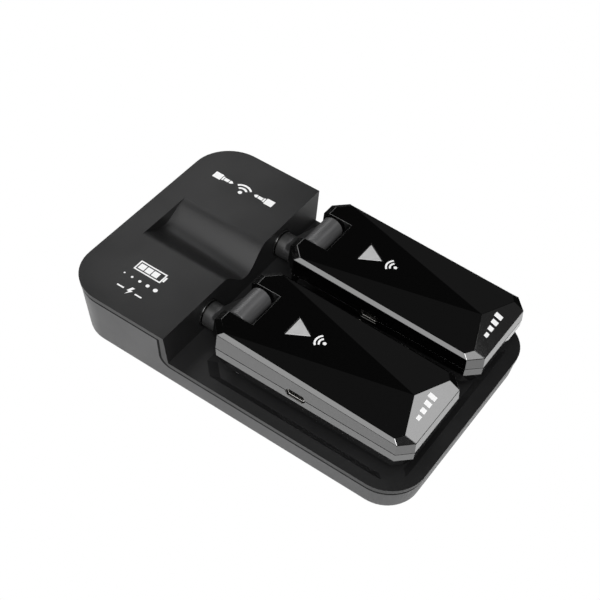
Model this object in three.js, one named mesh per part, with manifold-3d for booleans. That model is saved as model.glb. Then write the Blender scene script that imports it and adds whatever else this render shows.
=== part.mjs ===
// Wireless guitar set: a charging dock that holds a plug-in transmitter and a plug-in receiver.
// Millimetres, +Z up. The front of the tray is at -Y, the raised housing at +Y.
// The origin is under the middle of the dock, on the surface that its feet stand on.
import * as THREE from 'three';
import { mergeVertices } from 'three/addons/utils/BufferGeometryUtils.js';
import Module from 'manifold-3d';

const wasm = await Module();
wasm.setup();

// ---- driving dimensions -------------------------------------------------------------------

const GAP = 0.3;                      // clearance between pieces that touch

const dock = {
  halfLength: 72,
  halfWidth: 47.3,                    // at the housing's top
  cornerRadius: 16,
  housingTop: 27.4,
  trayTop: 13.5,
  bottom: 0.8,                        // underside of the base, above the feet
  bottomRound: 2.6,
  draft: 0.122,                       // side walls lean in by this much per millimetre down
  cover: 2.4,                         // thickness of the top cover and its lip
  wall: 2,
  frontWallTop: 25.4,                 // y of the housing's front wall at its top
  frontWallFoot: 24.6,
};
const recess = { halfWidth: 41.2, front: -67, rear: 14.7, chamfer: 5, radius: 8, depth: 1.5, slope: 2.7 };
const scoop = { halfWidth: 13, rear: 63, rearDepth: 5.2, frontDepth: 8.1, skin: 2 };
const socket = { z: 19.3, hole: 5.6, radius: 5.3, bore: 3.4, front: 25.2, rear: 49 };

const unit = {
  offset: 22.2,                       // each unit's centre line, left and right of the dock's
  front: -68.3,
  rear: 12.55,
  halfWidth: 18.2,
  frontChamfer: 4.5,
  rearChamfer: 4.9,
  top: 37.5,
  ring: 34,                         // height of the edge under the bevelled crown, at the front
  ringRear: 36.3,                   // and at the rear, where the crown is higher
  parting: 29.4,
  land: 25.8,
  bottom: 17.6,
  flare: 0.3,
  undercut: 3.4,
  wall: 1.8,
};
const crown = { halfWidth: 16.9, rear: 10.2, rearChamfer: 4.4, apex: -58.6 };
const crownFront = { sideX: 17, sideY: -62, sideZ: 35.2, noseX: 14.1, noseY: -64.1, noseZ: 35.5 };
const notch = { halfWidth: 8.1, front: 0.35 };
const hinge = { y: 7.6, z: 33, radius: 4.2, halfLength: 7.3, pin: 1.2, pinHalfLength: 11.5 };
const arm = { halfWidth: 4, halfThickness: 4, collarRadius: 4.9, collarFront: 15.5, collarRear: 24.2 };
const plug = { radius: 3.175, sleeve: 22.5, insulator: 1.2, length: 31, rod: 1, sleeveBore: 1.6 };
const button = { halfWidth: 4.5, rear: -10.4, apex: -17.9, top: 37.35, foot: 33.2 };
const usb = { y: -25, z: 29, halfWidth: 3.7, halfHeight: 1.4 };
const board = { bottom: 26.1, top: 27.3 };

// ---- materials ----------------------------------------------------------------------------

const finish = (color, roughness, metalness = 0) =>
  new THREE.MeshStandardMaterial({ color, roughness, metalness });

const materials = {
  charcoal: finish(0x2b2b2c, 0.6),
  satinGrey: finish(0x55565a, 0.5),
  glossBlack: finish(0x060607, 0.12),
  satinBarrel: finish(0x3a3a3c, 0.45),
  nickel: finish(0xc8c8cc, 0.25, 1),
  brass: finish(0xb99a55, 0.35, 1),
  screwSteel: finish(0x9a9a9e, 0.4, 1),
  blackPlastic: finish(0x151515, 0.55),
  lightButton: finish(0xbfc0c2, 0.4),
  rubber: finish(0x141414, 0.9),
  circuitGreen: finish(0x1c4a2e, 0.5),
  cellFoil: finish(0x8a8d92, 0.45, 0.4),
};

// ---- solids -------------------------------------------------------------------------------

// A closed three.js geometry becomes a solid that can be joined and cut.
function solid(geometry) {
  const bare = geometry.index ? geometry.toNonIndexed() : geometry.clone();
  bare.deleteAttribute('normal');
  bare.deleteAttribute('uv');
  const merged = mergeVertices(bare, 1e-4);
  return new wasm.Manifold(new wasm.Mesh({
    numProp: 3,
    vertProperties: new Float32Array(merged.attributes.position.array),
    triVerts: new Uint32Array(merged.index.array),
  }));
}

function geometryOf(body) {
  const mesh = body.getMesh();
  const geometry = new THREE.BufferGeometry();
  geometry.setAttribute('position', new THREE.BufferAttribute(new Float32Array(mesh.vertProperties), 3));
  geometry.setIndex(new THREE.BufferAttribute(new Uint32Array(mesh.triVerts), 1));
  return geometry;
}

function box(x0, x1, y0, y1, z0, z1) {
  const geometry = new THREE.BoxGeometry(x1 - x0, y1 - y0, z1 - z0);
  geometry.translate((x0 + x1) / 2, (y0 + y1) / 2, (z0 + z1) / 2);
  return solid(geometry);
}

// A cylinder from one end to the other along an axis, starting at the given point.
function cylinder(radius, length, axis, x, y, z, sides = 24) {
  const geometry = new THREE.CylinderGeometry(radius, radius, length, sides);
  geometry.translate(0, length / 2, 0);
  if (axis === 'z') geometry.rotateX(Math.PI / 2);
  if (axis === 'x') geometry.rotateZ(-Math.PI / 2);
  geometry.translate(x, y, z);
  return solid(geometry);
}

// A turned piece: [radius, distance] pairs from the axis and back to it, with the axis along +Y.
function turned(profile, x, y, z, sides = 24) {
  const geometry = new THREE.LatheGeometry(profile.map(([r, d]) => new THREE.Vector2(r, d)), sides);
  geometry.translate(x, y, z);
  return solid(geometry);
}

// Flat outlines are lists of [x, y] points, anticlockwise seen from above.
function prism(outline, z0, z1) {
  const shape = new THREE.Shape(outline.map(([x, y]) => new THREE.Vector2(x, y)));
  const geometry = new THREE.ExtrudeGeometry(shape, { depth: z1 - z0, bevelEnabled: false });
  geometry.translate(0, 0, z0);
  return solid(geometry);
}

// A prism along X from a [y, z] outline.
function sidePrism(outline, x0, x1) {
  const shape = new THREE.Shape(outline.map(([y, z]) => new THREE.Vector2(y, z)));
  const geometry = new THREE.ExtrudeGeometry(shape, { depth: x1 - x0, bevelEnabled: false });
  geometry.rotateY(Math.PI / 2);
  geometry.rotateX(Math.PI / 2);
  geometry.translate(x0, 0, 0);
  return solid(geometry);
}

// A closed body through sections that all have the same number of points.
function loft(sections) {
  const count = sections[0].length;
  const positions = sections.flat(2);
  const triangles = [];
  for (let level = 0; level < sections.length - 1; level += 1) {
    for (let i = 0; i < count; i += 1) {
      const a = level * count + i;
      const b = level * count + (i + 1) % count;
      triangles.push(a, b, b + count, a, b + count, a + count);
    }
  }
  const flat = sections[0].map((point) => new THREE.Vector2(...flatten(point, sections)));
  const last = (sections.length - 1) * count;
  for (const [a, b, c] of THREE.ShapeUtils.triangulateShape(flat, [])) {
    triangles.push(a, c, b, last + a, last + b, last + c);
  }
  const geometry = new THREE.BufferGeometry();
  geometry.setAttribute('position', new THREE.Float32BufferAttribute(positions, 3));
  geometry.setIndex(triangles);
  const body = solid(geometry);
  return body;
}

// Sections lie across Z, or across Y when all the first section's points share one y.
function flatten([x, y, z], sections) {
  const acrossY = sections[0].every((point) => point[1] === sections[0][0][1]);
  return acrossY ? [x, z] : [x, y];
}

const atHeight = (outline, z) => outline.map(([x, y]) => [x, y, z]);

function roundedOutline(halfWidth, front, rear, radius, steps = 6) {
  const corners = [
    [halfWidth - radius, front + radius, -90],
    [halfWidth - radius, rear - radius, 0],
    [radius - halfWidth, rear - radius, 90],
    [radius - halfWidth, front + radius, 180],
  ];
  return corners.flatMap(([x, y, start]) => Array.from({ length: steps + 1 }, (_, i) => {
    const angle = THREE.MathUtils.degToRad(start + 90 * i / steps);
    return [x + radius * Math.cos(angle), y + radius * Math.sin(angle)];
  }));
}

function chamferedOutline(halfWidth, front, rear, frontCut, rearCut) {
  return [
    [halfWidth - frontCut, front], [halfWidth, front + frontCut],
    [halfWidth, rear - rearCut], [halfWidth - rearCut, rear],
    [rearCut - halfWidth, rear], [-halfWidth, rear - rearCut],
    [-halfWidth, front + frontCut], [frontCut - halfWidth, front],
  ];
}

// ---- scene graph --------------------------------------------------------------------------

const object = new THREE.Group();

function place(parent, name, body, material) {
  const mesh = new THREE.Mesh(geometryOf(body), material);
  mesh.name = name;
  parent.add(mesh);
}

// ---- dock ---------------------------------------------------------------------------------

// The dock's outside at a given height: draft on every side.
function dockOutline(z, inset = 0) {
  const lean = (dock.housingTop - z) * dock.draft + inset;
  const frontAtTop = -dock.halfLength - (dock.housingTop - dock.trayTop) * dock.draft;
  return atHeight(roundedOutline(dock.halfWidth - lean, frontAtTop + lean, dock.halfLength - lean,
    dock.cornerRadius - lean), z);
}

const screwPlaces = [[-34, -62], [34, -62], [-34, 20], [34, 20]];
const footPlaces = [[-37.3, -44], [37.3, -44], [-37.3, 50], [37.3, 50]];
const foot = { radius: 4, height: 1.1, pocket: 0.6 };
const dockScrew = { head: 2.6, shank: 1.4, headBottom: 1, headTop: 1.7, tip: 9.6 };
const dockPort = { z: 11.6, halfWidth: 4.3, halfHeight: 2 };

function dockBase() {
  const coverLine = dock.frontWallTop + dock.cover + GAP;
  const seam = dock.trayTop - dock.cover - GAP;
  const housingSeam = dock.housingTop - dock.cover - GAP;
  const roundTop = dock.bottom + dock.bottomRound;
  const floor = dock.bottom + dock.wall;
  let body = loft([
    dockOutline(dock.bottom, dock.bottomRound),
    dockOutline(dock.bottom + dock.bottomRound * 0.3, dock.bottomRound * 0.3),
    dockOutline(roundTop),
    dockOutline(housingSeam),
  ]);
  body = body.subtract(loft([dockOutline(floor, dock.wall + 1.2), dockOutline(floor + 1.4, dock.wall),
    dockOutline(dock.housingTop + 1, dock.wall)]));
  body = body.subtract(box(-60, 60, -90, coverLine, seam, 40));
  for (const [x, y] of footPlaces) {
    body = body.subtract(cylinder(foot.radius + GAP, dock.bottom + foot.pocket, 'z', x, y, 0));
  }
  for (const [x, y] of screwPlaces) {
    body = body.subtract(cylinder(dockScrew.shank + GAP, 4, 'z', x, y, 0, 16));
    body = body.subtract(cylinder(dockScrew.head + GAP, dockScrew.headTop + GAP, 'z', x, y, 0, 16));
  }
  return body.subtract(box(-dockPort.halfWidth, dockPort.halfWidth, 60, 80,
    dockPort.z - dockPort.halfHeight, dockPort.z + dockPort.halfHeight));
}

// Points across the scoop at one y: a smooth hollow with soft shoulders, closed above.
function scoopSection(y, depth, halfWidth, drop, lid) {
  const steps = 12;
  const hollow = Array.from({ length: steps + 1 }, (_, i) => {
    const across = -1 + 2 * i / steps;
    const x = across * halfWidth;
    return [x, y, dock.housingTop - drop - depth * Math.cos(across * Math.PI / 2) ** 2];
  });
  return [...hollow, [halfWidth, y, lid], [-halfWidth, y, lid]];
}

function scoopBody(front, rear, halfWidth, drop, lid) {
  const slope = (scoop.rearDepth - scoop.frontDepth) / (scoop.rear - dock.frontWallTop);
  const depthAt = (y) => scoop.frontDepth + slope * (y - dock.frontWallTop);
  return loft([
    scoopSection(rear, depthAt(rear), halfWidth, drop, lid),
    scoopSection(front, depthAt(front), halfWidth, drop, lid),
  ]);
}

function recessBody() {
  const outline = (inset) => {
    const front = roundedOutline(recess.halfWidth - inset, recess.front + inset, recess.rear - inset, recess.radius);
    const half = front.length / 2;
    const cut = recess.chamfer;
    const right = recess.halfWidth - inset;
    const rear = recess.rear - inset;
    const rearCorners = [[right, rear - cut], [right - cut, rear], [cut - right, rear], [-right, rear - cut]];
    return [...front.slice(0, half / 2), ...rearCorners, ...front.slice(half * 1.5)];
  };
  const floor = dock.trayTop - recess.depth;
  return loft([atHeight(outline(recess.slope), floor), atHeight(outline(0), dock.trayTop),
    atHeight(outline(0), dock.trayTop + 1)]);
}

function dockCover() {
  const seam = dock.trayTop - dock.cover;
  const inner = dock.frontWallTop + dock.cover;
  const profile = [
    [-80, seam], [inner, seam], [inner, dock.housingTop - dock.cover], [80, dock.housingTop - dock.cover],
    [80, dock.housingTop], [dock.frontWallTop, dock.housingTop], [dock.frontWallFoot, dock.trayTop],
    [-80, dock.trayTop],
  ];
  let body = sidePrism(profile, -60, 60).intersect(loft([dockOutline(2), dockOutline(dock.housingTop)]));
  body = body.add(prism(roundedOutline(42.3, -68, 16, 10), seam - 1, seam + 0.2));
  body = body.add(scoopBody(inner - 1, scoop.rear + scoop.skin, scoop.halfWidth + 0.5, scoop.skin,
    dock.housingTop - 1));
  for (const [x, y] of screwPlaces) {
    const boss = cylinder(3.2, seam + 0.2 - 3.3, 'z', x, y, 3.3, 16);
    body = body.add(boss.subtract(cylinder(dockScrew.shank + GAP, 7, 'z', x, y, 3, 16)));
  }
  body = body.subtract(scoopBody(dock.frontWallFoot - 2, scoop.rear, scoop.halfWidth, 0, dock.housingTop + 1));
  body = body.subtract(recessBody());
  for (const side of [-1, 1]) {
    body = body.subtract(cylinder(socket.hole, 6, 'y', side * unit.offset, 23, socket.z));
  }
  return body;
}

function jackSocket(x) {
  const length = socket.rear - socket.front;
  return cylinder(socket.radius, length, 'y', x, socket.front, socket.z)
    .subtract(cylinder(socket.bore, length + 2, 'y', x, socket.front - 1, socket.z));
}

// A bent leaf that presses on the plug's tip from below.
function tipContact(x) {
  const low = 10.2;
  const high = socket.z - plug.radius - GAP;
  const profile = [[50, low], [57, low], [57, low + 0.6], [50.8, low + 0.6], [53, high], [52.2, high]];
  return sidePrism(profile, x - 1.5, x + 1.5);
}

function usbReceptacle(halfWidth, halfHeight, depth) {
  const wall = 0.5;
  return box(-halfWidth, halfWidth, 0, depth, -halfHeight, halfHeight)
    .subtract(box(wall - halfWidth, halfWidth - wall, -1, depth - wall, wall - halfHeight, halfHeight - wall));
}

function rearPort() {
  const geometry = geometryOf(usbReceptacle(4, 1.7, 7));
  geometry.rotateZ(Math.PI);
  geometry.translate(0, 70.4, dockPort.z);
  return solid(geometry);
}

function buildDock() {
  place(object, 'dock_base_shell', dockBase(), materials.satinGrey);
  place(object, 'dock_top_cover', dockCover(), materials.charcoal);
  place(object, 'dock_circuit_board', box(-38, 38, 31, 60, 8, 9.6), materials.circuitGreen);
  place(object, 'dock_battery_cell', box(-28, 28, -52, 6, 3.4, 9.4), materials.cellFoil);
  place(object, 'dock_usb_receptacle', rearPort(), materials.nickel);
  footPlaces.forEach(([x, y], i) => {
    place(object, `rubber_foot_${i + 1}`, cylinder(foot.radius, foot.height, 'z', x, y, 0), materials.rubber);
  });
  screwPlaces.forEach(([x, y], i) => {
    const head = cylinder(dockScrew.head, dockScrew.headTop - dockScrew.headBottom, 'z', x, y,
      dockScrew.headBottom, 16);
    const shank = cylinder(dockScrew.shank, dockScrew.tip - dockScrew.headTop + 0.2, 'z', x, y,
      dockScrew.headTop - 0.2, 16);
    place(object, `dock_screw_${i + 1}`, head.add(shank), materials.screwSteel);
  });
}

// ---- plug-in unit -------------------------------------------------------------------------

const mirrored = ([x, y, z]) => [-x, y, z];

// A closed body from named corners; each face lists its corners anticlockwise from outside.
function polyhedron(corners, faces) {
  const names = Object.keys(corners);
  const triangles = faces.flatMap((face) => face.slice(1, -1).flatMap((_, i) =>
    [face[0], face[i + 1], face[i + 2]].map((name) => names.indexOf(name))));
  const geometry = new THREE.BufferGeometry();
  geometry.setAttribute('position', new THREE.Float32BufferAttribute(Object.values(corners).flat(), 3));
  geometry.setIndex(triangles);
  return solid(geometry);
}

// The faceted outside of the upper shell: flat centre, two long side facets and a slanted nose.
function upperOutside(base) {
  const { front, rear, halfWidth: w, frontChamfer: f, rearChamfer: r, flare, ring, ringRear, top } = unit;
  const left = {
    crownRear: [crown.rearChamfer - crown.halfWidth, crown.rear, top],
    crownSide: [-crown.halfWidth, crown.rear - crown.rearChamfer, top],
    crownFront: [-crownFront.sideX, crownFront.sideY, crownFront.sideZ],
    crownNose: [-crownFront.noseX, crownFront.noseY, crownFront.noseZ],
    ringRear: [r - w, rear, ringRear],
    ringSide: [-w, rear - r, ringRear],
    ringFront: [-w, front + f, ring],
    ringNose: [f - w, front, ring],
    baseRear: [r - w - flare, rear + flare, base],
    baseSide: [-w - flare, rear - r + flare, base],
    baseFront: [-w - flare, front + f - flare, base],
    baseNose: [f - w - flare, front - flare, base],
  };
  const corners = { apex: [0, crown.apex, top] };
  for (const [name, point] of Object.entries(left)) {
    corners[`L${name}`] = point;
    corners[`R${name}`] = mirrored(point);
  }
  const leftFaces = [
    ['crownSide', 'crownFront', 'crownNose', 'apex'],
    ['crownNose', 'crownFront', 'ringFront', 'ringNose'],
    ['crownFront', 'crownSide', 'ringSide', 'ringFront'],
    ['crownSide', 'crownRear', 'ringRear', 'ringSide'],
    ['ringNose', 'ringFront', 'baseFront', 'baseNose'],
    ['ringFront', 'ringSide', 'baseSide', 'baseFront'],
    ['ringSide', 'ringRear', 'baseRear', 'baseSide'],
  ];
  const named = (side) => (name) => (name === 'apex' ? name : side + name);
  const faces = [
    ...leftFaces.map((face) => face.map(named('L'))),
    ...leftFaces.map((face) => face.map(named('R')).reverse()),
    ['LcrownRear', 'LcrownSide', 'apex', 'RcrownSide', 'RcrownRear'],
    ['apex', 'LcrownNose', 'LringNose', 'RringNose', 'RcrownNose'],
    ['LcrownRear', 'RcrownRear', 'RringRear', 'LringRear'],
    ['LringRear', 'RringRear', 'RbaseRear', 'LbaseRear'],
    ['LringNose', 'LbaseNose', 'RbaseNose', 'RringNose'],
    ['LbaseRear', 'RbaseRear', 'RbaseSide', 'RbaseFront', 'RbaseNose', 'LbaseNose', 'LbaseFront', 'LbaseSide'],
  ];
  return polyhedron(corners, faces);
}

function unitOutline(inset, z) {
  return atHeight(chamferedOutline(unit.halfWidth - inset, unit.front + inset, unit.rear - inset,
    unit.frontChamfer - inset * 0.4, unit.rearChamfer - inset * 0.4), z);
}

const unitScrews = [[0, -61.8], [-13.2, 1], [13.2, 1]];
const unitScrew = { head: 1.9, shank: 1, headBottom: 17.8, headTop: 18.5, tip: 29 };

// The room inside both shells, kept off the notch by a wall.
function unitCavity(bottom, top) {
  const room = loft([unitOutline(unit.wall + unit.undercut, bottom), unitOutline(unit.wall, unit.land),
    unitOutline(unit.wall, top)]);
  const side = notch.halfWidth + unit.wall;
  return room.subtract(box(-side, side, notch.front - unit.wall, unit.rear + 2, bottom - 1, top + 1));
}

function notchCut() {
  return box(-notch.halfWidth, notch.halfWidth, notch.front, unit.rear + 2, unit.bottom - 1, unit.top + 1);
}

const pinHole = () => cylinder(hinge.pin + GAP, 2 * hinge.pinHalfLength + 2 * GAP, 'x',
  -hinge.pinHalfLength - GAP, hinge.y, hinge.z, 16);

const portCut = () => box(-unit.halfWidth - 2, -12, usb.y - usb.halfWidth - GAP, usb.y + usb.halfWidth + GAP,
  usb.z - usb.halfHeight - GAP, usb.z + usb.halfHeight + GAP);

function buttonOutline(grow) {
  return [[0, button.apex - 2 * grow], [button.halfWidth + 1.7 * grow, button.rear + grow],
    [-button.halfWidth - 1.7 * grow, button.rear + grow]];
}

function upperShell() {
  const ceiling = 33;
  const seam = unit.parting + GAP / 2;
  let body = upperOutside(seam).subtract(unitCavity(unit.bottom + unit.wall, ceiling));
  for (const [x, y] of unitScrews) {
    const boss = cylinder(2.4, ceiling + 0.2 - 19.8, 'z', x, y, 19.8, 16);
    body = body.add(boss.subtract(cylinder(unitScrew.shank + GAP, 11, 'z', x, y, 19, 16)));
  }
  return body.subtract(notchCut()).subtract(pinHole()).subtract(portCut())
    .subtract(prism(buttonOutline(GAP), ceiling - 1, unit.top + 1));
}

function lowerShell() {
  const floor = unit.bottom + unit.wall;
  let body = loft([
    unitOutline(unit.undercut, unit.bottom),
    unitOutline(-0.1, unit.land),
    unitOutline(-unit.flare, unit.parting - GAP / 2),
  ]);
  body = body.subtract(unitCavity(floor, unit.parting + 2));
  for (const [x, y] of unitScrews) {
    body = body.subtract(cylinder(2.7, 20, 'z', x, y, floor, 16));
    body = body.subtract(cylinder(unitScrew.shank + GAP, 4, 'z', x, y, unit.bottom - 1, 16));
    body = body.subtract(cylinder(unitScrew.head + GAP, unitScrew.headTop + GAP - unit.bottom + 1, 'z', x, y,
      unit.bottom - 1, 16));
  }
  return body.subtract(notchCut()).subtract(portCut());
}

// Barrel on the hinge pin, a sloping arm and the round collar that carries the plug.
function plugArm() {
  const barrel = cylinder(hinge.radius, 2 * hinge.halfLength, 'x', -hinge.halfLength, hinge.y, hinge.z, 32);
  const endY = arm.collarFront + 3;
  const endZ = socket.z;
  const length = Math.hypot(endY - hinge.y, endZ - hinge.z);
  const acrossY = -(endZ - hinge.z) / length * arm.halfThickness;
  const acrossZ = (endY - hinge.y) / length * arm.halfThickness;
  const slab = sidePrism([
    [hinge.y - acrossY, hinge.z - acrossZ], [endY - acrossY, endZ - acrossZ],
    [endY + acrossY, endZ + acrossZ], [hinge.y + acrossY, hinge.z + acrossZ],
  ], -arm.halfWidth, arm.halfWidth);
  const r = arm.collarRadius;
  const collarLength = arm.collarRear - arm.collarFront;
  const collar = turned([[0, -1.2], [r * 0.6, -0.8], [r * 0.9, 0.3], [r, 1.8], [r, collarLength - 1],
    [r * 0.86, collarLength], [0, collarLength]], 0, arm.collarFront, socket.z);
  return barrel.add(slab).add(collar)
    .subtract(cylinder(hinge.pin + GAP, 2 * hinge.halfLength + 2, 'x', -hinge.halfLength - 1, hinge.y, hinge.z, 16));
}

function plugSleeve() {
  const start = arm.collarRear + GAP;
  return cylinder(plug.radius, plug.sleeve - GAP, 'y', 0, start, socket.z)
    .subtract(cylinder(plug.sleeveBore, plug.sleeve + 2, 'y', 0, start - 1, socket.z, 16));
}

function plugInsulator() {
  const start = arm.collarRear + plug.sleeve + GAP;
  return cylinder(plug.radius - 0.05, plug.insulator, 'y', 0, start, socket.z)
    .subtract(cylinder(plug.rod + GAP, plug.insulator + 2, 'y', 0, start - 1, socket.z, 16));
}

// The tip's rod runs back through the sleeve; the head has the usual waist and ball.
function plugTip() {
  const head = plug.sleeve + plug.insulator + 2 * GAP;
  const profile = [[0, 1], [plug.rod, 1], [plug.rod, head], [2.6, head], [2.05, head + 1.9], [2.1, head + 2.4],
    [3.1, head + 3.9], [3.1, head + 4.4], [2, plug.length - 0.7], [1.1, plug.length], [0, plug.length]];
  return turned(profile, 0, arm.collarRear, socket.z);
}

function unitPort() {
  const geometry = geometryOf(usbReceptacle(usb.halfWidth, usb.halfHeight, 5.4));
  geometry.rotateZ(-Math.PI / 2);
  geometry.translate(-unit.halfWidth + 0.4, usb.y, usb.z);
  return solid(geometry);
}

function buildUnit(prefix, side) {
  const group = new THREE.Group();
  group.position.x = side * unit.offset;
  object.add(group);
  const add = (name, body, material) => place(group, `${prefix}_${name}`, body, material);
  add('upper_shell', upperShell(), materials.glossBlack);
  add('lower_shell', lowerShell(), materials.glossBlack);
  add('light_button', prism(buttonOutline(0), button.foot, button.top), materials.lightButton);
  add('button_switch', box(-2.5, 2.5, -15.5, -10.5, board.top + GAP, button.foot - 0.8), materials.blackPlastic);
  add('circuit_board', box(-15.5, 15.5, -58, -2.2, board.bottom, board.top), materials.circuitGreen);
  add('battery_cell', box(-12, 12, -52, -10, 20, board.bottom - GAP), materials.cellFoil);
  add('usb_receptacle', unitPort(), materials.nickel);
  add('antenna', box(-9, 9, -57, -53.5, board.top + GAP, board.top + 1.4), materials.brass);
  add('plug_arm', plugArm(), materials.satinBarrel);
  add('hinge_pin', cylinder(hinge.pin, 2 * hinge.pinHalfLength, 'x', -hinge.pinHalfLength, hinge.y, hinge.z, 16),
    materials.screwSteel);
  add('plug_sleeve', plugSleeve(), materials.nickel);
  add('plug_insulator', plugInsulator(), materials.blackPlastic);
  add('plug_tip', plugTip(), materials.nickel);
  unitScrews.forEach(([x, y], i) => {
    const head = cylinder(unitScrew.head, unitScrew.headTop - unitScrew.headBottom, 'z', x, y,
      unitScrew.headBottom, 16);
    const shank = cylinder(unitScrew.shank, unitScrew.tip - unitScrew.headTop + 0.2, 'z', x, y,
      unitScrew.headTop - 0.2, 16);
    add(`screw_${i + 1}`, head.add(shank), materials.screwSteel);
  });
  place(object, `${prefix}_jack_socket`, jackSocket(side * unit.offset), materials.blackPlastic);
  place(object, `${prefix}_tip_contact`, tipContact(side * unit.offset), materials.brass);
}

buildDock();
buildUnit('tx', -1);
buildUnit('rx', 1);

export default object;
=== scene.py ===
import math

import bmesh
import bpy
from mathutils import Matrix, Vector


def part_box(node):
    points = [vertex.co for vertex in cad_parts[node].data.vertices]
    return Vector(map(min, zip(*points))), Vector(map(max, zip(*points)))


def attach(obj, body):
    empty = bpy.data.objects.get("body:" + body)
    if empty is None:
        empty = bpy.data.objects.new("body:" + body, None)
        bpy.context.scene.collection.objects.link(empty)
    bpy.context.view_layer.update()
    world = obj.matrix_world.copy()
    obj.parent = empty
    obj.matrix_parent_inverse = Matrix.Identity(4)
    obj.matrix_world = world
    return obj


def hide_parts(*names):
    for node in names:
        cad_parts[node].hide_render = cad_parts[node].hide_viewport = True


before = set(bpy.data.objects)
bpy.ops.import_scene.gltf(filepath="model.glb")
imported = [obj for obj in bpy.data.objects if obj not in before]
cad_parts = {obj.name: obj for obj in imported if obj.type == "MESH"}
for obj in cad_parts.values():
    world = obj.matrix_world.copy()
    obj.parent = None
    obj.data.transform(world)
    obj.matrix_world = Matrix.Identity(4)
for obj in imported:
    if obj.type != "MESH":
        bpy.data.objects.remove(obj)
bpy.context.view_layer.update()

# ---- driving dimensions, in millimetres ------------------------------------------------------

MM = 0.001


def box_mm(node):
    """Lowest and highest corner of a CAD node, in millimetres."""
    low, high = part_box(node)
    return Vector(low) / MM, Vector(high) / MM


def on_axis(low, high, z):
    """The point at height z on the upright axis of a round node with these corners."""
    return ((low.x + high.x) / 2, (low.y + high.y) / 2, z)


cover_high = box_mm("dock_top_cover")[1]
HALF_WIDTH = cover_high.x
HALF_LENGTH = cover_high.y
HOUSING_TOP = cover_high.z
TRAY_TOP = 13.5
CORNER_RADIUS = 16
DRAFT = 0.122
COVER = 1.9
WALL = 2
BASE_INSET = 0.2
BASE_BOTTOM = 0.8
BOTTOM_ROUND = 2.6
DOCK_EDGE = 0.35

# The seam is the groove between the cover and the base, with a tongue at its bottom; the tongue is black as
# painted shade, standing for the shadow deep in the groove.
SEAM = 1.3
SEAM_DEPTH = 0.25
SEAM_BEND = 4.5
TONGUE_OVERLAP = 0.3

# The front wall of the housing leans back from its foot; the cut that shapes it runs on above the housing.
WALL_TOP_Y = 25.4
WALL_FOOT_Y = 24.6
ABOVE_HOUSING = 5
ABOVE_HOUSING_LEAN = 0.29

# Cutting tools reach this far from the middle, past the sides and the ends of the dock, and start this low.
BESIDE = 60
BEYOND = 90
BELOW_SEAM = 2

RECESS_HALF_WIDTH = 41.2
RECESS_FRONT = -67
RECESS_REAR = 14.7
RECESS_CHAMFER = 5
RECESS_RADIUS = 8
RECESS_DEPTH = 1.5
RECESS_SLOPE = 2.7

SCOOP_HALF_WIDTH = 13
SCOOP_REAR = 63
SCOOP_REAR_DEPTH = 5.2
SCOOP_FRONT_DEPTH = 8.1
SCOOP_SKIN = 2

# Screw holes, from below: radius and depth for the head, then for the shank.
DOCK_SCREW_HOLE = ((2.9, 2), (1.7, 5))
UNIT_SCREW_HOLE = ((2.2, 1.2), (1.3, 3))
FOOT_CLEARANCE = 0.3
DOCK_PORT_HALF_WIDTH = 4.5
DOCK_PORT_HALF_HEIGHT = 2.1
DOCK_PORT_CORNER = 1.2

socket_low, socket_high = box_mm("rx_jack_socket")
SOCKET_HOLE = 5.5
SOCKET_RADIUS = 5.3
SOCKET_BORE = 3.4
PLUG_Z = (socket_low.z + socket_high.z) / 2
UNIT_OFFSET = (socket_low.x + socket_high.x) / 2

# A unit flares by FLARE from the ring down to the parting line, and tapers by UNDERCUT below LAND_Z.
UNIT_TOP = box_mm("rx_upper_shell")[1].z
UNIT_BOTTOM = box_mm("rx_lower_shell")[0].z
UNIT_FRONT = -68.3
UNIT_REAR = 12.55
UNIT_HALF_WIDTH = 18.2
FRONT_CHAMFER = 4.5
REAR_CHAMFER = 4.9
RING_Z = 34
RING_REAR_Z = 36.3
PARTING_Z = 29.4
LAND_Z = 25.8
FLARE = 0.3
LAND_FLARE = 0.1
UNDERCUT = 3.4
UNIT_WALL = 1.8
UNIT_GAP = 0.12
UPPER_ROOM_TOP = 33
UPPER_EDGE = 0.24
LOWER_EDGE = 0.22

# The crown is the bevelled top of a unit: a flat centre that narrows to the apex, and facets beside it.
CROWN_HALF_WIDTH = 16.9
CROWN_REAR = 10.2
CROWN_REAR_CHAMFER = 4.4
APEX_Y = -58.6
CROWN_FRONT = (-17.0, -62.0, 35.2)
CROWN_NOSE = (-14.1, -64.1, 35.5)
NOTCH_HALF_WIDTH = 8.1
NOTCH_FRONT = 0.35

# The fine line below the crown: its top edge under the ring, and its height, relief and depth.
LINE_DROP = 0.12
LINE_HEIGHT = 0.16
LINE_RELIEF = 0.02
LINE_DEPTH = 0.5

HINGE_Y = 7.6
HINGE_Z = 33
BARREL_RADIUS = 4.2
BARREL_HALF_LENGTH = 7.3
BARREL_BORE = 1.5
ARM_HALF_WIDTH = 4
ARM_HALF_HEIGHT = 4
ARM_EDGE = 1.3
ARM_REACH = 3
COLLAR_RADIUS = 4.9
COLLAR_FRONT = 15.5
COLLAR_REAR = 24.2
COLLAR_MIDDLE = 20
COLLAR_BORE = 3
DOME_BULGE = 1.4
DOME_SHOULDER = 3.4

PLUG_RADIUS = 3.175
PLUG_SLEEVE = 22.5
INSULATOR_LENGTH = 1.2
PLUG_LENGTH = 31

button_low, button_high = box_mm("rx_light_button")
WINDOW_GAP = 0.18
USB_Y = -25
USB_Z = 29

# Where the printed marks stand, and how far above the surface the ink starts and ends.
LINK_MARK = (29.8, 48.5)
BATTERY_MARK = (-25.4, 48.6)
LEVEL_MARK = (-31.4, 48.6)
CHARGE_MARK = (-37.2, 48.6)
UNIT_LINK_MARK_Y = -23.4
NOSE_MARK_FROM_APEX = 6.4
INK_GAP = 0.005
INK_HEIGHT = 0.03


# ---- mesh helpers -----------------------------------------------------------------------------

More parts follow.
